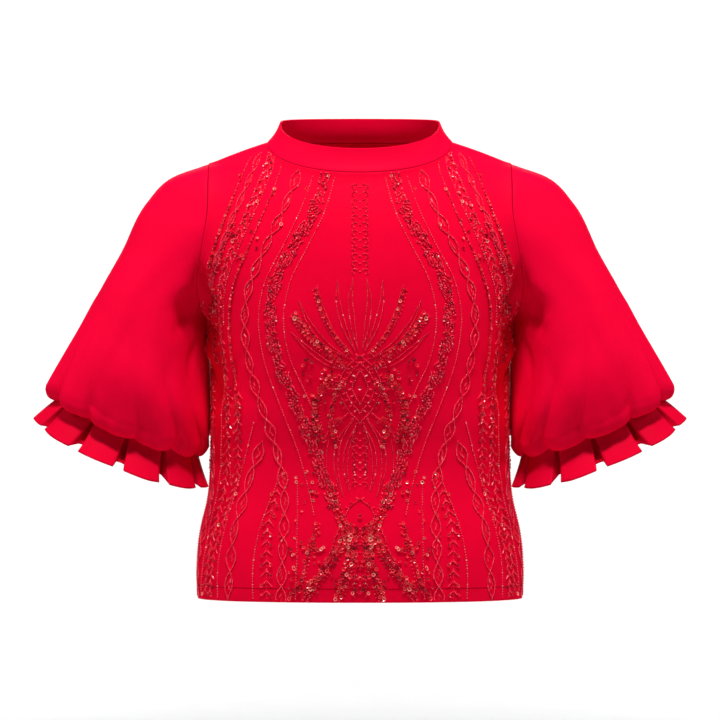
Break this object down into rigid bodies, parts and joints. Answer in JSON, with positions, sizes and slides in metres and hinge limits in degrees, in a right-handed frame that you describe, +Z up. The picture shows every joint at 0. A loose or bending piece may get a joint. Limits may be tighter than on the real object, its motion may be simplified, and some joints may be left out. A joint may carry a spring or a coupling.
{
  "type": "balloon sleeve top, filled out with no wearer",
  "caption": "Short straight top with a stand collar, sequin and bead work on the front, elbow-length balloon sleeves and a box-pleated ruffle at each cuff.",
  "frame": {"origin": "midway between the two points where the shoulder seams meet the collar, at the height of those points", "axes": "+X to the viewer's right, +Y to the back of the top, +Z up; the front faces -Y"},
  "size_m": [0.764, 0.2376, 0.568],
  "materials": {
    "embroidered_crepe": "matt red crepe with sewn sequins, bugle beads and seed beads",
    "crepe": "smooth red crepe with a soft sheen",
    "sequin": "glossy foiled red sequins and cut beads"
  },
  "bodies": {
    "root": {"bodice_front": "embroidered_crepe", "bodice_back": "crepe", "collar": "crepe", "sleeve_left": "crepe", "sleeve_right": "crepe", "ruffle_left": "crepe", "ruffle_right": "crepe"}
  },
  "joints": []
}
